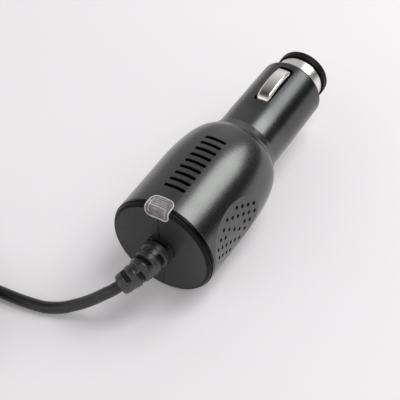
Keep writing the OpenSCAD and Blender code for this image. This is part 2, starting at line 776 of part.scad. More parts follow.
module strain_relief() {
    step = 1 / relief_rings;
    ring = step * relief_fill;
    gap = step - ring;
    bridge_w = 2.2;
    out = [-1, 0, 0];
    inner = [axis_x + relief_flange_s, 0, axis_z];
    sleeve_r = relief_hole_r - touch_gap;
    bridge_reach = sqrt(pow(sleeve_r, 2) - pow(bridge_w / 2, 2));
    // Each step is a gap, then a ring; the last ring ends the sweep
    edges = [[0, false], [0, true], [0.5, true], [1, true], [1, false]];
    rings = [for (i = [0:relief_rings - 1], q = edges) if (i < relief_rings - 1 || q != [1, false])
        let (t = min(i * step + gap + q[0] * ring, 1))
        [relief_at(t), relief_along(t), q[1] ? relief_outer(t) : relief_core_r]];
    color([0.09, 0.09, 0.09]) {
        swept(concat([[inner - relief_flange * out, out, relief_flange_r], [inner, out, relief_flange_r],
                      [inner, out, sleeve_r], [relief_start, out, sleeve_r],
                      [relief_start, out, relief_core_r]], rings), 24);
        // Bridges over the gaps, each pair a quarter turn from the last
        for (i = [0:relief_rings - 1]) {
            t = i * step + gap / 2;
            way = relief_along(t);
            length = norm(relief_at(i * step + gap) - relief_at(i * step)) + 0.3;
            reach = min(bridge_reach, relief_outer(t) - 0.25);
            translate(relief_at(t)) rotate([0, -asin(way[2]), atan2(way[1], way[0])])
                rotate([90 * ((i + 1) % 2), 0, 0])
                    translate([-length / 2, -bridge_w / 2, -reach]) cube([length, bridge_w, 2 * reach]);
        }
    }
}

module cord() {
    color([0.13, 0.13, 0.14]) tube(cord_route, cord_d / 2, 28);
}

module cord_tail() {
    color([0.13, 0.13, 0.14]) tube(tail_route, cord_d / 2, 22);
}

// Outline of the coil's turns, from the coil's middle out and from the surface up
module coil_section() {
    half = coil_w / 2;
    translate([coil_r, 0]) rounded(-half, 0, half, coil_h, cord_d / 2 - 0.05);
}

// The tie's loop with its hole, in the coil's own frame
module tie_loop() {
    half = coil_w / 2;
    rotate([0, 0, tie_angle]) rotate([90, 0, 0]) translate([0, 0, -tie_w / 2]) linear_extrude(tie_w)
        translate([coil_r, 0]) difference() {
            rounded(-half - tie_t, 0, half + tie_t, coil_h + tie_t, 1.6);
            rounded(-half, tie_t, half, coil_h, 1);
        }
}

module cord_coil() {
    color([0.13, 0.13, 0.14]) translate([coil_x, coil_y, 0]) difference() {
        rotate_extrude() coil_section();
        tie_loop();
    }
}

module cord_tie() {
    color([0.2, 0.2, 0.2]) translate([coil_x, coil_y, 0]) tie_loop();
}

// Puts children, drawn with the cord entering at the origin towards +X, at the cord's far end
module at_far_end() {
    translate(tail_route[len(tail_route) - 1]) rotate([0, 0, grip_turn]) children();
}

// The grip's outline from above or from the side: it widens from its neck, and its front corners are cut
module grip_outline(neck, taper, half, corner) {
    polygon([[0, -neck], [taper, -half], [grip_len - corner, -half], [grip_len, corner - half],
             [grip_len, half - corner], [grip_len - corner, half], [taper, half], [0, neck]]);
}

module usb_grip() {
    neck = cord_d / 2 + 0.6;
    taper = 0.4 * grip_len;
    color([0.1, 0.1, 0.1]) at_far_end() intersection() {
        translate([0, 0, -grip_h / 2]) linear_extrude(grip_h)
            grip_outline(neck, taper, grip_w / 2, 0.6);
        translate([0, grip_w, 0]) rotate([90, 0, 0]) linear_extrude(2 * grip_w)
            grip_outline(neck, taper, grip_h / 2, 0.5);
    }
}

// Cross-section of the metal shell, narrower below
module shell_outline(inset) {
    w = shell_w / 2 - inset;
    h = shell_h / 2 - inset;
    polygon([[-w, h], [w, h], [w, 0], [w - 0.9, -h], [-w + 0.9, -h], [-w, 0]]);
}

module usb_shell() {
    color([0.75, 0.75, 0.73]) at_far_end() translate([grip_len, 0, 0]) rotate([90, 0, 90])
        linear_extrude(shell_len) difference() {
            shell_outline(0);
            shell_outline(shell_wall);
        }
}

module usb_tongue() {
    short = 0.8;
    color([0.1, 0.1, 0.1]) at_far_end() translate([grip_len, 0, 0]) rotate([90, 0, 90])
        linear_extrude(shell_len - short) intersection() {
            shell_outline(shell_wall);
            translate([-shell_w, 0.05]) square([2 * shell_w, shell_h]);
        }
}

body_shell();
inner_half_left();
inner_half_right();
led_window();
led();
circuit_board();
inductor_core();
inductor_winding();
input_capacitor();
output_capacitor();
regulator();
diode();
cord_wires();
ground_wire_top();
ground_wire_bottom();
ground_terminal_top();
ground_terminal_bottom();
spring_seat();
tip_spring();
fuse_cap_rear();
fuse_glass();
fuse_cap_front();
centre_tip();
nose_ring();
nose_cap();
side_contact_top();
side_contact_bottom();
strain_relief();
cord();
cord_coil();
cord_tail();
cord_tie();
usb_grip();
usb_shell();
usb_tongue();
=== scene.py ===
"""Looks for the car charger plug and its lead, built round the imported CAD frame. Lengths are in metres."""

import json
import math

import bpy
from mathutils import Matrix, Vector


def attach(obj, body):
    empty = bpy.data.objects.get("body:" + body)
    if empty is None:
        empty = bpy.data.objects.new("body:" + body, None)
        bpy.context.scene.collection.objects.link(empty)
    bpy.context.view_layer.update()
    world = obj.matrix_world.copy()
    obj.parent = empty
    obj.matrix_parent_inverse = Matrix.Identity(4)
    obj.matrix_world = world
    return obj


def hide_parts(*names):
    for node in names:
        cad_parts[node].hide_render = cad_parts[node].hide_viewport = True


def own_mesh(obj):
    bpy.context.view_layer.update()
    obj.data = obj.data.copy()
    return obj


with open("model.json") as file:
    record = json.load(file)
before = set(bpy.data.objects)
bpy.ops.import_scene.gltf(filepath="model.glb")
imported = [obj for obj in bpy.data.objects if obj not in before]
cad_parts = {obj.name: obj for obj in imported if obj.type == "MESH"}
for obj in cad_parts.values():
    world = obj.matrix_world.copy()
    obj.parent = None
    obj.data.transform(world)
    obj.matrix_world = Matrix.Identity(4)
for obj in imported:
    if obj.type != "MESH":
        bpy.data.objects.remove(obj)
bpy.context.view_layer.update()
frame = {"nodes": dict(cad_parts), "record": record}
nodes = frame["nodes"]
scene = bpy.context.scene

MM = 0.001
AXIS_X, AXIS_Z = -44.05 * MM, 16.3 * MM
CORD_R = 1.75 * MM
CAP_BAND = 2.1 * MM  # how far along the plug the black of the cap reaches


def mm(*values):
    return Vector(values) * MM


# Camera, at the photograph's angle: yaw from +X towards +Y, pitch below the horizon
def make_camera(place, yaw, pitch, roll, lens):
    yaw, pitch, roll = (math.radians(a) for a in (yaw, pitch, roll))
    ahead = Vector((math.cos(pitch) * math.cos(yaw), math.cos(pitch) * math.sin(yaw), -math.sin(pitch)))
    level = ahead.cross(Vector((0, 0, 1))).normalized()
    above = level.cross(ahead)
    right = math.cos(roll) * level + math.sin(roll) * above
    up = -math.sin(roll) * level + math.cos(roll) * above
    data = bpy.data.cameras.new("camera")
    data.lens = lens
    data.sensor_width = 36
    data.clip_start, data.clip_end = 0.01, 20
    camera = bpy.data.objects.new("camera", data)
    scene.collection.objects.link(camera)
    turn = Matrix((right, up, -ahead)).transposed().to_4x4()
    camera.matrix_world = Matrix.Translation(place) @ turn
    scene.camera = camera


make_camera((-0.2378, -0.1456, 0.2885), yaw=34.11, pitch=46.35, roll=-3.88, lens=117.3)


# Shared helpers for meshes and curves
def smooth_step(x, low=0.0, high=1.0):
    u = min(max((x - low) / (high - low), 0.0), 1.0)
    return u * u * (3 - 2 * u)


def bump_window(x, low, high, soft):
    """1 between low and high, falling smoothly to 0 over soft on both sides."""
    return smooth_step(x, low - soft, low) * (1 - smooth_step(x, high, high + soft))


def curve_at(points, t):
    """The same smooth curve through points that part.scad sweeps its tubes along."""
    last = len(points) - 1
    i = min(int(t), last - 1)
    u = t - i
    a, b, c, d = points[max(i - 1, 0)], points[i], points[i + 1], points[min(i + 2, last)]
    return 0.5 * (2 * b + (c - a) * u + (2 * a - 5 * b + 4 * c - d) * u**2 + (3 * b - a - 3 * c + d) * u**3)


def mesh_object(name, points, faces, material, smooth=True, body="plug"):
    mesh = bpy.data.meshes.new(name)
    mesh.from_pydata([tuple(p) for p in points], [], faces)
    mesh.update()
    mesh.polygons.foreach_set("use_smooth", [smooth] * len(mesh.polygons))
    mesh.materials.append(material)
    thing = bpy.data.objects.new(name, mesh)
    scene.collection.objects.link(thing)
    if body:
        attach(thing, body)
    return thing


def ring_faces(rings, sides, caps=True):
    """Faces of a closed skin over rings of points."""
    faces = []
    for i in range(rings - 1):
        for k in range(sides):
            a, b = i * sides + k, i * sides + (k + 1) % sides
            faces.append((a, b, b + sides, a + sides))
    if caps:
        faces.append(tuple(range(sides - 1, -1, -1)))
        faces.append(tuple((rings - 1) * sides + k for k in range(sides)))
    return faces


# Materials: each has its own grain and wear, worked out from the object's own coordinates
class Look:
    """A Principled material with helpers for procedural detail."""

    def __init__(self, name, colour, roughness, **sockets):
        self.material = bpy.data.materials.new(name)
        self.material.use_nodes = True
        self.tree = self.material.node_tree
        self.shader = self.tree.nodes["Principled BSDF"]
        self.set("Base Color", (*colour, 1))
        self.set("Roughness", roughness)
        for socket, value in sockets.items():
            self.set(socket.replace("_", " "), value)
        self.place = self.add("ShaderNodeTexCoord").outputs["Object"]

    def set(self, socket, value):
        self.shader.inputs[socket].default_value = value

    def add(self, kind, **values):
        node = self.tree.nodes.new(kind)
        for key, value in values.items():
            setattr(node, key, value)
        return node

    def link(self, source, target):
        self.tree.links.new(source, target)

    def noise(self, scale, detail=3, stretch=(1, 1, 1), roughness=0.5):
        """Noise whose features are about 1 / scale metres across."""
        mapping = self.add("ShaderNodeMapping")
        mapping.inputs["Scale"].default_value = stretch
        self.link(self.place, mapping.inputs["Vector"])
        node = self.add("ShaderNodeTexNoise")
        node.inputs["Scale"].default_value = scale
        node.inputs["Detail"].default_value = detail
        node.inputs["Roughness"].default_value = roughness
        self.link(mapping.outputs["Vector"], node.inputs["Vector"])
        return node.outputs["Fac"]

    def maths(self, kind, *values):
        node = self.add("ShaderNodeMath", operation=kind)
        for socket, value in zip(node.inputs, values):
            if isinstance(value, (int, float)):
                socket.default_value = value
            else:
                self.link(value, socket)
        return node.outputs["Value"]

    def along(self):
        """Distance along the plug, from its cap, and distance from its axis, in metres."""
        parts = self.add("ShaderNodeSeparateXYZ")
        self.link(self.place, parts.inputs["Vector"])
        up = self.maths("SUBTRACT", parts.outputs["Z"], AXIS_Z)
        square = self.maths("ADD", self.maths("POWER", parts.outputs["Y"], 2), self.maths("POWER", up, 2))
        return self.maths("SUBTRACT", parts.outputs["X"], AXIS_X), self.maths("SQRT", square)

    def darken(self, mask, colour):
        """Takes the base colour to another one where the mask is 1."""
        mix = self.add("ShaderNodeMix", data_type="RGBA")
        base = self.shader.inputs["Base Color"]
        if base.is_linked:
            self.link(base.links[0].from_socket, mix.inputs["A"])
        else:
            mix.inputs["A"].default_value = base.default_value
        mix.inputs["B"].default_value = (*colour, 1)
        self.link(mask, mix.inputs["Factor"])
        self.link(mix.outputs["Result"], base)
        return self

    def cells(self, scale, output="Color"):
        node = self.add("ShaderNodeTexVoronoi")
        node.inputs["Scale"].default_value = scale
        self.link(self.place, node.inputs["Vector"])
        return node.outputs[output]

    def spread(self, source, low, high, start=0.3, end=0.7):
        """Maps a texture's start to end onto low to high."""
        node = self.add("ShaderNodeMapRange")
        node.inputs["From Min"].default_value = start
        node.inputs["From Max"].default_value = end
        node.inputs["To Min"].default_value = low
        node.inputs["To Max"].default_value = high
        self.link(source, node.inputs["Value"])
        return node.outputs["Result"]

    def rough(self, source, low, high):
        self.link(self.spread(source, low, high), self.shader.inputs["Roughness"])
        return self

    def tint(self, source, colour_a, colour_b, start=0.3, end=0.7):
        """Base colour between two colours by a texture."""
        mix = self.add("ShaderNodeMix", data_type="RGBA")
        self.link(self.spread(source, 0, 1, start, end), mix.inputs["Factor"])
        mix.inputs["A"].default_value = (*colour_a, 1)
        mix.inputs["B"].default_value = (*colour_b, 1)
        self.link(mix.outputs["Result"], self.shader.inputs["Base Color"])
        return self

    def bumps(self, *layers, edge=0):
        """Layers of (height texture, strength, height in metres), over edges rounded by the edge's radius."""
        normal = None
        if edge:
            rounded = self.add("ShaderNodeBevel", samples=6)
            rounded.inputs["Radius"].default_value = edge
            normal = rounded.outputs["Normal"]
        for source, strength, height in layers:
            bump = self.add("ShaderNodeBump")
            bump.inputs["Strength"].default_value = strength
            bump.inputs["Distance"].default_value = height
            self.link(source, bump.inputs["Height"])
            if normal:
                self.link(normal, bump.inputs["Normal"])
            normal = bump.outputs["Normal"]
        self.link(normal, self.shader.inputs["Normal"])
        return self


def gunmetal():
    look = Look("gunmetal_shell", (0.117, 0.1195, 0.117), 0.26, Metallic=1.0)
    along, out = look.along()
    look.tint(look.noise(160, 4), (0.11, 0.1125, 0.11), (0.125, 0.1275, 0.125))
    # From 50 to 56 mm along the plug the barrel turns darker: painted shade that dims its highlight
    look.darken(look.spread(along, 0, 1, 0.05, 0.056), (0.082, 0.083, 0.084))
    # The sleeve's first millimetre reads as part of the black cap, up to a fine step
    look.darken(look.spread(along, 1, 0, CAP_BAND - 0.00003, CAP_BAND + 0.00003), (0.008, 0.008, 0.0075))
    look.rough(look.noise(1400, 2), 0.245, 0.275)
    step = look.spread(along, 0, 1, CAP_BAND - 0.0001, CAP_BAND + 0.00015)
    look.bumps((look.noise(3800, 2), 0.04, 0.00001), (step, 1.0, 0.00018), edge=0.0002)
    return look.material


def black_plastic():
    look = Look("black_plastic", (0.021, 0.0195, 0.0185), 0.4)
    look.tint(look.noise(220, 4), (0.018, 0.017, 0.016), (0.024, 0.0225, 0.0215))
    look.rough(look.noise(900, 3), 0.34, 0.44)
    parts = look.add("ShaderNodeSeparateXYZ")
    look.link(look.place, parts.inputs["Vector"])
    seam = look.spread(look.maths("ABSOLUTE", parts.outputs["Y"]), 1, 0, 0.0001, 0.00022)
    look.darken(seam, (0.001, 0.001, 0.001))
    look.bumps((look.noise(5200, 3), 0.12, 0.00002), edge=0.00015)
    return look.material


def cap_edge():
    look = Look("cap_edge", (0.008, 0.008, 0.0075), 0.3, Specular_IOR_Level=0.12)
    look.rough(look.noise(900, 3), 0.26, 0.34)
    look.bumps((look.noise(3200, 3), 0.08, 0.00002))
    return look.material


def nose_plastic():
    look = Look("nose_plastic", (0.006, 0.0055, 0.0055), 0.42, Specular_IOR_Level=0.12)
    look.rough(look.noise(800, 3), 0.38, 0.48)
    look.bumps((look.noise(4200, 3), 0.12, 0.00002), edge=0.00025)
    return look.material


def nickel(name, roughness=0.16, stretch=(1, 12, 12)):
    look = Look(name, (0.84, 0.82, 0.785), roughness, Metallic=1.0)
    look.tint(look.noise(300, 4), (0.81, 0.79, 0.75), (0.86, 0.845, 0.81))
    look.rough(look.noise(420, 5, stretch), roughness * 0.8, roughness * 1.3)
    look.bumps((look.noise(1200, 3, stretch), 0.05, 0.00001), edge=0.00015)
    return look.material


def brass():
    look = Look("brass_strip", (0.7, 0.52, 0.22), 0.25, Metallic=1.0)
    look.tint(look.noise(500, 4), (0.66, 0.47, 0.19), (0.74, 0.57, 0.27))
    look.rough(look.noise(900, 4), 0.2, 0.36)
    return look.material


def clear_plastic():
    look = Look("clear_plastic", (0.4, 0.375, 0.385), 0.08, Transmission_Weight=0.45, IOR=1.49)
    look.tint(look.noise(650, 3), (0.3, 0.275, 0.285), (0.5, 0.47, 0.48), 0.35, 0.65)
    look.rough(look.noise(900, 3), 0.05, 0.12)
    look.bumps((look.noise(1400, 2), 0.06, 0.00003))
    return look.material


def window_painted_highlight():
    """The clear plastic where its rim and ribs catch the light, near white: a painted highlight."""
    look = Look("window_painted_highlight", (0.86, 0.83, 0.85), 0.2, Transmission_Weight=0.12, IOR=1.49)
    look.tint(look.noise(900, 2), (0.78, 0.75, 0.77), (0.92, 0.89, 0.91))
    look.rough(look.noise(900, 3), 0.14, 0.28)
    return look.material


def glass():
    look = Look("fuse_glass", (0.9, 0.95, 0.94), 0.02, Transmission_Weight=1.0, IOR=1.5)
    look.rough(look.noise(700, 3), 0.01, 0.06)
    return look.material


def rubber(name, dark, light, roughness, grain, height, gloss):
    look = Look(name, dark, roughness, Specular_IOR_Level=gloss)
    look.tint(look.noise(1500, 4), dark, light)
    look.rough(look.noise(1100, 3), roughness - 0.06, roughness + 0.08)
    look.bumps((look.noise(grain, 4), 0.25, height), (look.noise(180, 3), 0.1, 0.00004))
    return look.material


def resin(name, colour, lighter, roughness):
    look = Look(name, colour, roughness)
    look.tint(look.noise(900, 3), colour, lighter)
    look.rough(look.noise(1300, 3), roughness - 0.05, roughness + 0.07)
    return look.material


def lamp_resin():
    look = Look("lamp_resin", (0.95, 0.8, 0.82), 0.1, Transmission_Weight=0.6, IOR=1.5)
    look.rough(look.noise(1500, 2), 0.06, 0.16)
    return look.material


def laminate():
    look = Look("board_laminate", (0.05, 0.2, 0.1), 0.35)
    look.tint(look.cells(650, "Distance"), (0.04, 0.17, 0.08), (0.08, 0.27, 0.14), 0.0, 0.8)
    look.rough(look.noise(2200, 2), 0.28, 0.42)
    look.bumps((look.noise(2600, 2), 0.15, 0.00003))
    return look.material


def winding():
    look = Look("copper_wire", (0.6, 0.28, 0.12), 0.28, Metallic=0.9)
    turns = look.add("ShaderNodeTexWave", wave_type="BANDS", bands_direction="Z")
    turns.inputs["Scale"].default_value = 620
    look.link(look.place, turns.inputs["Vector"])
    look.tint(turns.outputs["Fac"], (0.3, 0.12, 0.05), (0.66, 0.33, 0.15), 0.0, 0.5)
    look.bumps((turns.outputs["Fac"], 0.8, 0.0001))
    return look.material


def woven(name, colour, lighter):
    look = Look(name, colour, 0.85, Sheen_Weight=0.3)
    weave = []
    for direction in ("X", "Z"):
        wave = look.add("ShaderNodeTexWave", wave_type="BANDS", bands_direction=direction)
        wave.inputs["Scale"].default_value = 520
        wave.inputs["Distortion"].default_value = 0.6
        look.link(look.place, wave.inputs["Vector"])
        weave.append(wave.outputs["Fac"])
    cross = look.add("ShaderNodeMath", operation="MAXIMUM")
    look.link(weave[0], cross.inputs[0])
    look.link(weave[1], cross.inputs[1])
    look.tint(cross.outputs["Value"], colour, lighter, 0.2, 0.9)
    look.bumps((cross.outputs["Value"], 0.7, 0.00012))
    return look.material


LOOKS = {
    "gunmetal_shell": gunmetal(),
    "black_plastic": black_plastic(),
    "nose_plastic": nose_plastic(),
    "clear_plastic": clear_plastic(),
    "window_painted_highlight": window_painted_highlight(),
    "lamp_resin": lamp_resin(),
    "board_laminate": laminate(),
    "ferrite": resin("ferrite", (0.05, 0.05, 0.055), (0.09, 0.09, 0.1), 0.55),
    "copper_wire": winding(),
    "capacitor_can": resin("capacitor_can", (0.03, 0.03, 0.09), (0.05, 0.05, 0.13), 0.3),
    "chip_resin": resin("chip_resin", (0.025, 0.025, 0.026), (0.045, 0.045, 0.047), 0.5),
    "wire_insulation": resin("wire_insulation", (0.3, 0.03, 0.02), (0.38, 0.05, 0.03), 0.35),
    "brass_strip": brass(),
    "spring_steel": nickel("spring_steel", 0.25),
    "nickel": nickel("nickel", 0.2),
    "plated_plastic": nickel("plated_plastic", 0.29, (1, 1, 1)),
    "fuse_glass": glass(),
    "relief_rubber": rubber("relief_rubber", (0.007, 0.007, 0.007), (0.036, 0.0355, 0.034), 0.34, 2600, 0.00012, 0.85),
    "cord_jacket": rubber("cord_jacket", (0.011, 0.011, 0.0115), (0.018, 0.018, 0.019), 0.36, 3500, 0.00002, 0.55),
    "tie_fabric": woven("tie_fabric", (0.02, 0.02, 0.021), (0.06, 0.06, 0.062)),
}

for part in frame["record"]["subparts"]:
    thing = nodes[part["node"]]
    thing.data.materials.clear()
    thing.data.materials.append(LOOKS[part["material_slot"]])
    thing.data.polygons.foreach_set("use_smooth", [True] * len(thing.data.polygons))
    thing.data.set_sharp_from_angle(angle=math.radians(28))

# The rounded edge of the cap is black and glossy round its satin disc
for name in ("inner_half_left", "inner_half_right"):
    halves = nodes[name].data
    halves.materials.append(cap_edge() if name == "inner_half_left" else bpy.data.materials["cap_edge"])
    for face in halves.polygons:
        middle = face.center
        if math.hypot(middle.y, middle.z - AXIS_Z) > 15.02 * MM and middle.x - AXIS_X < 2.3 * MM:
            face.material_index = 1



# The grip panels and their holes, as in part.scad: rows from the middle of a panel, each with a twin half a turn on
PANEL_TURN, PANEL_CURVE, PANEL_MIDDLE_Z, PANEL_S, SCOOP_R = 85, 34.5, -19.35, 15.2, 63.18
HOLE_R = 0.62
HOLE_ROWS = [((3.05, 5.6), (9.95, 1.7), 4), ((-2.2, 5.5), (9.8, -1.1), 6), ((5, -1.3), (7.45, -2.7), 2),
             ((-4.85, 4.05), (0, 0), 3)]


def grip_holes():
    holes = []
    for first, last, count in HOLE_ROWS:
        for i in range(count):
            hole = Vector(first).lerp(Vector(last), i / (count - 1))
            holes += [hole, -hole]
    return holes


def paint_hole_shade():
    """Below the panel's scooped face, the blind holes of the grip panels get a near black colour: painted shade for
    their dark depths.
    """
    shell = nodes["body_shell"].data
    look = Look("hole_painted_shade", (0.004, 0.004, 0.004), 0.8)
    look.rough(look.noise(900, 2), 0.75, 0.85)
    shell.materials.append(look.material)
    holes = grip_holes()
    for face in shell.polygons:
        place = face.center - Vector((AXIS_X, 0, AXIS_Z))
        for side in (1, -1):
            local = Matrix.Rotation(math.radians(-PANEL_TURN * side), 3, "X") @ place / MM
            along = local.x - PANEL_S
            if local.z < 0 or min((Vector((along, local.y)) - hole).length for hole in holes) > HOLE_R + 0.03:
                continue
            rise = SCOOP_R - math.sqrt(SCOOP_R**2 - along**2)
            depth = PANEL_MIDDLE_Z + math.sqrt((PANEL_CURVE + rise) ** 2 - local.y**2) - local.z
            # Faces deep in a hole take the near black: painted shade
            if depth > 0.06:
                face.material_index = 1


paint_hole_shade()

# The lead: out of the strain relief, down to the surface, round the coil and on to the small plug
cord_route = [mm(*p) for p in [
    (-58.5, 3.8, 13.5), (-60.4, 5.4, 12.3), (-61.8, 7.5, 10.8), (-63, 10.2, 8.5), (-64.1, 13.2, 6.2),
    (-65.2, 16.2, 4.3), (-66.4, 19.1, 2.9), (-67.5, 22, 2.1), (-68.5, 25, 1.75), (-69.2, 28.5, 1.75),
    (-69.7, 32.5, 1.75), (-70, 37, 1.75), (-70.2, 42, 1.75), (-70.25, 48, 1.75), (-70.25, 52, 1.75)]]
COIL = mm(-89.25, 54.8, 0)
tail_route = [COIL + mm(*p) for p in [
    (3.1, -11.7, 12.1), (7.1, -10.2, 12.45), (10.5, -7.3, 12.5), (12.7, -3.4, 12.5), (13.2, 1.2, 12.5),
    (12.1, 5.7, 12.6), (9.5, 9.5, 12.8), (6.3, 11.9, 13), (2.8, 13, 13.15)]]
TIE_ANGLE = 172
# Where the winding steps to the next turn or layer: from and to angle, change of radius and of height
STEPS = [(285, 335, -3.6, 0), (620, 670, -3.6, 0), (955, 1005, 0, 3.5), (1290, 1340, 3.6, 0),
         (1625, 1675, 3.6, 0), (1960, 2010, 0, 3.5), (2295, 2345, -3.6, 0), (2630, 2680, -3.6, 0),
         (2965, 3015, -1.8, 3.5), (3030, 3100, 1.9, 0)]


def coil_point(angle):
    """A point of the coil at an angle in degrees, counted on from turn to turn, in three layers of three turns
    and a last turn that lies on them."""
    radius = 19 + sum(step[2] * smooth_step(angle, *step[:2]) for step in STEPS)
    z = 1.75 + sum(step[3] * smooth_step(angle, *step[:2]) for step in STEPS)
    over_tie = bump_window(angle % 360, TIE_ANGLE - 8, TIE_ANGLE + 8, 30)
    z += (1.24 if angle > 2990 else 0.62) * over_tie
    a = math.radians(angle)
    return COIL + mm(radius * math.cos(a), radius * math.sin(a), z)


RELIEF_RINGS, RELIEF_FILL, RELIEF_CORE = 5, 0.58, 2.3


def relief_at(t):
    """Middle line of the strain relief, as in part.scad."""
    start = Vector((AXIS_X - 0.05 * MM, 0, AXIS_Z))
    b = start - mm(6, 0, 0)
    end = cord_route[0]
    c = end - (cord_route[1] - cord_route[0]).normalized() * 5 * MM
    u = 1 - t
    return u**3 * start + 3 * u * u * t * b + 3 * u * t * t * c + t**3 * end


def lead_line():
    line = [relief_at(t) for t in (0.9, 0.95)]
    steps = 5
    line += [curve_at(cord_route, i / steps) for i in range(steps * (len(cord_route) - 1) + 1)]
    line += [coil_point(a) for a in range(-5, 3160, 5)]
    line += [curve_at(tail_route, i / steps) for i in range(steps * (len(tail_route) - 1) + 1)]
    return line


line = lead_line()
data = bpy.data.curves.new("lead", "CURVE")
data.dimensions = "3D"
data.bevel_depth = CORD_R
data.bevel_resolution = 5
data.use_fill_caps = True
spline = data.splines.new("POLY")
spline.points.add(len(line) - 1)
for point, place in zip(spline.points, line):
    point.co = (*place, 1)
spline.use_smooth = True
data.materials.append(LOOKS["cord_jacket"])
lead = bpy.data.objects.new("lead", data)
scene.collection.objects.link(lead)
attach(lead, "plug")
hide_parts("cord", "cord_coil", "cord_tail")


# Detail pieces that stand for or finish CAD nodes
def frames_along(points):
    """Position, side and up vectors along a line, the side kept level."""
    frames = []
    for i, p in enumerate(points):
        way = (points[min(i + 1, len(points) - 1)] - points[max(i - 1, 0)]).normalized()
        side = Vector((0, 0, 1)).cross(way).normalized()
        frames.append((p, way, side, way.cross(side)))
    return frames


def skin(name, rings, material, body="plug", caps=True):
    """A smooth closed skin over rings that all have the same number of points."""
    sides = len(rings[0])
    piece = mesh_object(name, [p for ring in rings for p in ring], ring_faces(len(rings), sides, caps), material,
                        body=body)
    piece.data.set_sharp_from_angle(angle=math.radians(40))
    return piece


def relief_radius(t, turn):
    """The strain relief's radius at t along it and at an angle in degrees round it, 0 to the side, and whether
    that is down in a gap. Each step is a gap, then a ring, and bridges cross the gaps."""
    step = min(int(t * RELIEF_RINGS), RELIEF_RINGS - 1)
    gap = 1 - RELIEF_FILL
    u = t * RELIEF_RINGS - step
    outer = 4.6 - 1.5 * t
    rounding = 0.12 * (smooth_step(abs(u - gap - RELIEF_FILL / 2), 0.36 * RELIEF_FILL, 0.5 * RELIEF_FILL)
                       if u > gap else 1)
    top = outer - rounding
    if u > gap:
        return top, 0.0
    open_side = 90 if step % 2 == 0 else 0
    away = abs((turn - open_side + 90) % 180 - 90)
    floor = (RELIEF_CORE + 0.2) if step % 2 == 0 else max(outer - 1.5, RELIEF_CORE + 0.2)
    depth = (1 - smooth_step(away, 47, 55)) * bump_window(u, 0.06, gap - 0.06, 0.05)
    return top + (floor - top) * depth, depth


def make_relief():
    steps, sides = 26 * RELIEF_RINGS, 96
    rings, marks = [], []
    inside = Vector((1, 0, 0))
    seat = Vector((AXIS_X, 0, AXIS_Z))
    for s, r in ((4.25, 0.6), (4.25, 5.1), (4.15, 5.5), (2.35, 5.5), (2.25, 5.4), (2.25, 4.05), (0.2, 4.05)):
        middle = seat + inside * s * MM
        rings.append([middle + mm(0, -r * math.cos(a), r * math.sin(a))
                      for a in (2 * math.pi * k / sides for k in range(sides))])
        marks.append([0.0] * sides)
    line = [relief_at(i / steps) for i in range(steps + 1)]
    for i, (p, way, side, up) in enumerate(frames_along(line)):
        ring, mark = [], []
        for k in range(sides):
            a = 2 * math.pi * k / sides
            r, depth = relief_radius(i / steps, math.degrees(a))
            if i == 0:
                r = 4.05
            ring.append(p + (math.cos(a) * side + math.sin(a) * up) * r * MM)
            mark.append(depth)
        rings.append(ring)
        marks.append(mark)
    # The rounded end, where the cord comes out
    for out, r in ((0.22, 2.95), (0.36, 2.6), (0.42, 2.1), (0.3, 1.8), (-0.6, 1.72)):
        rings.append([p + way * out * MM + (math.cos(a) * side + math.sin(a) * up) * r * MM
                      for a in (2 * math.pi * k / sides for k in range(sides))])
        marks.append([0.0] * sides)
    relief = skin("relief", rings, LOOKS["relief_rubber"], caps=True)
    # Faces deep in the gaps take a darker, rougher rubber: painted shade for the gaps
    relief.data.materials.append(gap_painted_shade())
    for i in range(len(rings) - 1):
        for k in range(sides):
            if marks[i][k] + marks[i + 1][k] > 1.2:
                relief.data.polygons[i * sides + k].material_index = 1
    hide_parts("strain_relief")
    return relief


# Darker, rougher rubber for the faces deep in the gaps: painted shade
def gap_painted_shade():
    look = Look("relief_gaps_painted_shade", (0.006, 0.006, 0.006), 0.7)
    look.rough(look.noise(1100, 3), 0.6, 0.8)
    look.bumps((look.noise(4200, 3), 0.2, 0.00003))
    return look.material


def tube_along(name, points, radius, material, closed=False, sides=10, body="plug"):
    """A round bead along points."""
    rings = []
    count = len(points)
    for i, p in enumerate(points):
        after = points[(i + 1) % count] if closed or i < count - 1 else p
        before = points[i - 1] if closed or i > 0 else p
        way = (after - before).normalized()
        side = way.cross(Vector((0.13, 0.21, 0.97))).normalized()
        up = way.cross(side)
        rings.append([p + (math.cos(a) * side + math.sin(a) * up) * radius
                      for a in (2 * math.pi * k / sides for k in range(sides))])
    faces = ring_faces(count, sides, caps=not closed)
    if closed:
        base = (count - 1) * sides
        faces += [(base + k, base + (k + 1) % sides, (k + 1) % sides, k) for k in range(sides)]
    return mesh_object(name, [q for ring in rings for q in ring], faces, material, body=body)


WINDOW_TOP, WINDOW_EDGE, WINDOW_FACE = 16.6, 0.9, -0.3
WINDOW_HALF, WINDOW_END, WINDOW_CORNER, WINDOW_FOOT = 3.8, 4.2, 1.9, 12.4


def window_skin(s, y, sink=0.0):
    """A point on the light window's outer surface at s along the plug, s < 0 going down its front face."""
    top = WINDOW_TOP - sink
    turn = math.pi / 2 * WINDOW_EDGE
    if s >= 0:
        radius, place = top, WINDOW_FACE + WINDOW_EDGE + s
    elif s > -turn:
        a = -s / WINDOW_EDGE
        radius = top - WINDOW_EDGE + (WINDOW_EDGE) * math.cos(a)
        place = WINDOW_FACE + WINDOW_EDGE - (WINDOW_EDGE - sink) * math.sin(a)
    else:
        radius, place = top - WINDOW_EDGE + s + turn, WINDOW_FACE + sink
        height = math.sqrt((top - WINDOW_EDGE) ** 2 - y * y) + s + turn
        return Vector((AXIS_X, 0, AXIS_Z)) + mm(place, y, height)
    return Vector((AXIS_X, 0, AXIS_Z)) + mm(place, y, math.sqrt(radius**2 - y * y))


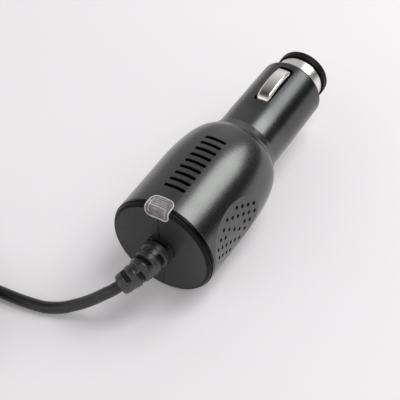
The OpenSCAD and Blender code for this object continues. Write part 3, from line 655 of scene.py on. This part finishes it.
def make_window_rim():
    """A bead round the window's border, over its front edge, and the ribs inside it, in a near white that paints their
    highlights.
    """
    far = WINDOW_END - WINDOW_FACE - WINDOW_EDGE
    half, corner = WINDOW_HALF - 0.12, WINDOW_CORNER
    foot = -(math.pi / 2 * WINDOW_EDGE + math.sqrt((WINDOW_TOP - WINDOW_EDGE) ** 2 - half**2) - WINDOW_FOOT - 0.12)
    outline = []
    for cs, cy, start in ((far - corner, half - corner, 0), (foot + corner, half - corner, 90),
                          (foot + corner, corner - half, 180), (far - corner, corner - half, 270)):
        for i in range(13):
            a = math.radians(start + 7.5 * i)
            outline.append((cs + corner * math.cos(a), cy + corner * math.sin(a)))
    loop = []
    for (s0, y0), (s1, y1) in zip(outline, outline[1:] + outline[:1]):
        steps = max(1, round(math.hypot(s1 - s0, y1 - y0) / 0.25))
        loop += [window_skin(s0 + (s1 - s0) * i / steps, y0 + (y1 - y0) * i / steps, 0.08) for i in range(steps)]
    rim = tube_along("window_rim_highlight", loop, 0.17 * MM, LOOKS["window_painted_highlight"], closed=True, sides=12)
    ribs = [((2.9, -1.9), (2.9, 1.9), 0.05), ((2.2, -2.3), (2.2, 2.2), 0.06), ((1.5, -2.3), (1.5, 2.3), 0.05),
            ((0.8, -2.5), (0.8, 2.4), 0.06), ((0.0, -2.7), (0.0, 2.5), 0.12), ((2.9, 2.6), (1.3, 2.6), 0.1),
            ((1.3, 2.6), (-2.2, 2.6), 0.16), ((0.0, -2.6), (-3.0, -2.6), 0.12), ((1.3, 2.6), (1.3, 3.5), 0.14)]
    for number, ((s0, y0), (s1, y1), radius) in enumerate(ribs):
        steps = max(2, round(math.hypot(s1 - s0, y1 - y0) / 0.25))
        line = [window_skin(s0 + (s1 - s0) * i / steps, y0 + (y1 - y0) * i / steps, radius * 0.7)
                for i in range(steps + 1)]
        rib = tube_along(f"window_rib_{number}", line, radius * MM, LOOKS["window_painted_highlight"], sides=8)


CONTACT_EYE = Vector((AXIS_X, 0, AXIS_Z)) + mm(51.1, 0, 7.7)
CONTACT_PATH = [(0, 0), (2.85, 0), (5.8, 0.25), (6.3, 0.85), (6.8, 1.75), (7.5, 2.6), (8.6, 3.2), (10.3, 3.6),
                (12.5, 3.85), (14.8, 3.92), (17.1, 3.8), (18.7, 3.5), (19.9, 3.15), (20.8, 2.75), (21.5, 2.3)]
CONTACT_HALF, CONTACT_T, CONTACT_FOLD, CONTACT_SHOULDER = 2.2, 0.4, 1.3, 0.85


def make_contact(name, node, body, side):
    """The pressed strip of a side contact, with its sides folded down and its free end rounded."""
    path = [Vector((p[0], 0, p[1])) for p in CONTACT_PATH]
    last = len(path) - 1
    steps = 8
    line = [curve_at(path, i / steps) for i in range(steps * last + 1)]
    end = line[-1].x
    rings = []
    for i, p in enumerate(line):
        t = i / steps
        way = (line[min(i + 1, len(line) - 1)] - line[max(i - 1, 0)]).normalized()
        up = Vector((-way.z, 0, way.x))
        left = end - p.x
        half = CONTACT_HALF - (1.9 - math.sqrt(max(1.9**2 - (1.9 - left) ** 2, 0.0)) if left < 1.9 else 0)
        half = max(half, 0.35)
        fold = CONTACT_FOLD * bump_window(t, 4.2, last - 2.6, 1.2)
        bend = min(CONTACT_SHOULDER, half - 0.2)
        rise = min(bend, fold + CONTACT_T / 2) if fold > 0.02 else 0.02
        outer = [(half - bend + bend * math.sin(a), -rise * (1 - math.cos(a)))
                 for a in (math.radians(15 * k) for k in range(7))]
        outer.append((half, -max(rise, fold) - 0.001 * (1 + k_last(fold))))
        outer = [(y, z + CONTACT_T / 2) for y, z in outer]
        inner = []
        for k in range(7):
            a = math.radians(90 - 15 * k)
            thin = max(bend - CONTACT_T, 0.05)
            inner.append((half - bend + thin * math.sin(a) if k < 6 else half - bend,
                          min(-CONTACT_T / 2, CONTACT_T / 2 - rise + (rise - CONTACT_T) * math.cos(a))
                          if rise > CONTACT_T else -CONTACT_T / 2))
        foot = (half - CONTACT_T * (1 if fold > 0.3 else 0.05), min(outer[-1][1], -CONTACT_T / 2))
        right = outer + [foot] + inner
        ring = right + [(-y, z) for y, z in reversed(right)]
        rings.append([p + Vector((0, y, 0)) + up * z for y, z in ring])
    turned = Matrix.Rotation(math.pi if side < 0 else 0, 3, "X")
    eye = Vector((CONTACT_EYE.x - AXIS_X, 0, CONTACT_EYE.z - AXIS_Z))
    base = Vector((AXIS_X, 0, AXIS_Z))
    rings = [[base + turned @ (eye + q * MM) for q in ring] for ring in rings]
    strip = skin(name, rings, LOOKS["nickel"], body=body)
    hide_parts(node)
    # The eye that it turns on
    turns, sides = 24, 24
    middle = base + turned @ eye
    loops = []
    for y in (-CONTACT_HALF, -CONTACT_HALF + 0.1, CONTACT_HALF - 0.1, CONTACT_HALF):
        r = 0.47 if abs(y) == CONTACT_HALF else 0.55
        loops.append([middle + mm(r * math.cos(2 * math.pi * k / sides), y, r * math.sin(2 * math.pi * k / sides))
                      for k in range(sides)])
    pin = skin(name + "_eye", loops, LOOKS["nickel"], body=body)


def k_last(fold):
    return 0 if fold > 0 else 1


def make_tie():
    """The woven tie round the coil's turns: a flat band closed to a rounded loop."""
    inner, outer, low, high, corner, thick, half = 10.05, 20.75, 0.31, 11.42, 1.9, 0.55, 2.5
    a = math.radians(TIE_ANGLE)
    radial, side = Vector((math.cos(a), math.sin(a), 0)), Vector((-math.sin(a), math.cos(a), 0))
    path = []
    for cr, cz, start in ((outer - corner + 0.3, high - corner, 0), (inner + corner - 0.3, high - corner, 90),
                          (inner + corner - 0.3, low + corner, 180), (outer - corner + 0.3, low + corner, 270)):
        for i in range(9):
            b = math.radians(start + 11.25 * i)
            path.append((cr + corner * math.cos(b), cz + corner * math.sin(b), b))
    dense = []
    for (r0, z0, b0), (r1, z1, b1) in zip(path, path[1:] + path[:1]):
        steps = max(1, round(math.hypot(r1 - r0, z1 - z0) / 0.6))
        dense += [(r0 + (r1 - r0) * i / steps, z0 + (z1 - z0) * i / steps) for i in range(steps)]
    rings = []
    count = len(dense)
    for i, (r, z) in enumerate(dense):
        (ra, za), (rb, zb) = dense[i - 1], dense[(i + 1) % count]
        way = Vector((rb - ra, zb - za)).normalized()
        out = Vector((way.y, -way.x))
        profile = [(-half, -thick / 2), (half, -thick / 2), (half + 0.06, 0), (half, thick / 2), (half - 0.5, thick / 2),
                   (half - 0.7, thick / 2 - 0.1), (0.7 - half, thick / 2 - 0.1), (0.5 - half, thick / 2),
                   (-half, thick / 2), (-half - 0.06, 0)]
        rings.append([COIL + (radial * (r + out.x * d) + side * w + Vector((0, 0, z + out.y * d))) * MM
                      for w, d in profile])
    sides = len(rings[0])
    faces = ring_faces(count, sides, caps=False)
    base = (count - 1) * sides
    faces += [(base + k, base + (k + 1) % sides, (k + 1) % sides, k) for k in range(sides)]
    band = mesh_object("tie_band", [q for ring in rings for q in ring], faces, LOOKS["tie_fabric"])
    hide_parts("cord_tie")
    return band


def make_spring():
    """The tip's spring, built as a fixed coil; on the plug it shortens as the tip is pushed in."""
    turns, wire, radius, steps = 6, 0.3, 2.15, 24 * 6
    start = Vector((5.95 * MM, 0, AXIS_Z))
    line = []
    for i in range(steps + 1):
        a = 2 * math.pi * turns * i / steps
        line.append(start + mm(wire + (9.5 - 2 * wire) * i / steps, radius * math.cos(a), radius * math.sin(a)))
    spring = tube_along("spring_coil", line, wire * MM, LOOKS["spring_steel"], sides=10)
    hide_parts("tip_spring")
    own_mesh(spring)


def finish_usb_plug():
    """Softens the grip's edges and gives it ridges for the thumb."""
    rounded = nodes["usb_grip"].modifiers.new("soft edges", "BEVEL")
    rounded.width, rounded.segments, rounded.angle_limit = 0.5 * MM, 3, math.radians(25)
    turn = Matrix.Rotation(math.radians(168), 3, "Z")
    tail = tail_route[-1]
    for side in (1, -1):
        for i in range(4):
            line = [tail + turn @ mm(6.6 + 1.5 * i, y, side * 2.55) for y in (-2.7, -2.6, -1.3, 0, 1.3, 2.6, 2.7)]
            line[0] -= mm(0, 0, side * 0.25)
            line[-1] -= mm(0, 0, side * 0.25)
            ridge = tube_along(f"grip_ridge_{'top' if side > 0 else 'bottom'}_{i}", line, 0.28 * MM,
                               LOOKS["relief_rubber"], sides=10)


relief = make_relief()
make_window_rim()
make_spring()
finish_usb_plug()
make_contact("contact_leaf_top", "side_contact_top", "contact_top", 1)
make_contact("contact_leaf_bottom", "side_contact_bottom", "contact_bottom", -1)
tie = make_tie()


# Surroundings: a pale surface, a soft key light and a studio that is bright on one side and dark on the other
def direction(azimuth, elevation):
    a, e = math.radians(azimuth), math.radians(elevation)
    return Vector((math.cos(e) * math.cos(a), math.cos(e) * math.sin(a), math.sin(e)))


def make_floor():
    size = 3.0
    corners = [(-size, -size, 0), (size, -size, 0), (size, size, 0), (-size, size, 0)]
    look = Look("surface", (0.93, 0.912, 0.925), 0.75)
    look.tint(look.noise(25, 3), (0.925, 0.907, 0.92), (0.94, 0.922, 0.935))
    rays = look.add("ShaderNodeLightPath")
    seen = look.maths("MAXIMUM", rays.outputs["Is Camera Ray"],
                      look.maths("MAXIMUM", rays.outputs["Is Glossy Ray"], rays.outputs["Is Transmission Ray"]))
    look.link(look.maths("MULTIPLY", seen, 0.09), look.shader.inputs["Emission Strength"])
    look.set("Emission Color", (1, 0.985, 1, 1))
    look.bumps((look.noise(600, 3), 0.05, 0.0001))
    floor = mesh_object("surface", corners, [(0, 1, 2, 3)], look.material, body=None)


def make_softbox(name, azimuth, elevation, distance, width, height, radiance, colour=(1, 1, 1)):
    data = bpy.data.lights.new(name, "AREA")
    data.shape = "RECTANGLE"
    data.size, data.size_y = width, height
    data.energy = radiance * math.pi * width * height
    data.color = colour
    lamp = bpy.data.objects.new(name, data)
    way = direction(azimuth, elevation)
    lamp.location = way * distance
    lamp.rotation_euler = way.to_track_quat("Z", "Y").to_euler()
    scene.collection.objects.link(lamp)


def make_world(base, glows, shades):
    world = bpy.data.worlds.new("studio")
    scene.world = world
    world.use_nodes = True
    tree = world.node_tree
    way = tree.nodes.new("ShaderNodeTexCoord").outputs["Generated"]

    def maths(kind, a, b=None):
        node = tree.nodes.new("ShaderNodeMath")
        node.operation = kind
        for socket, value in zip(node.inputs, (a, b)):
            if isinstance(value, (int, float)):
                socket.default_value = value
            elif value is not None:
                tree.links.new(value, socket)
        return node.outputs["Value"]

    def lobe(azimuth, elevation, width, gain):
        dot = tree.nodes.new("ShaderNodeVectorMath")
        dot.operation = "DOT_PRODUCT"
        tree.links.new(way, dot.inputs[0])
        dot.inputs[1].default_value = direction(azimuth, elevation)
        sharp = 1 / math.radians(width) ** 2
        return maths("MULTIPLY", maths("EXPONENT", maths("MULTIPLY", maths("SUBTRACT", dot.outputs["Value"], 1), sharp)), gain)

    level = base
    for glow in glows:
        level = maths("ADD", lobe(*glow), level)
    for shade in shades:
        level = maths("MULTIPLY", maths("SUBTRACT", 1, lobe(*shade)), level)
    background = tree.nodes["Background"]
    background.inputs["Color"].default_value = (1, 0.99, 1, 1)
    tree.links.new(level, background.inputs["Strength"])


make_floor()
make_softbox("key", -35, 45, 0.7, 0.35, 0.36, 4.1)
make_softbox("fill", -55, 72, 0.8, 0.3, 0.3, 5.0)
make_world(0.3, glows=[(75, 6, 30, 0.22), (156, 18, 24, 0.8), (110, 30, 30, 0.35), (-110, 40, 30, 0.5),
                       (23, 27, 18, 0.8)],
           shades=[(-53, 12, 24, 0.9), (50, 30, 22, 0.35), (72, 80, 26, 0.85), (95, 66, 16, 0.8)])
scene.view_settings.view_transform = "Standard"
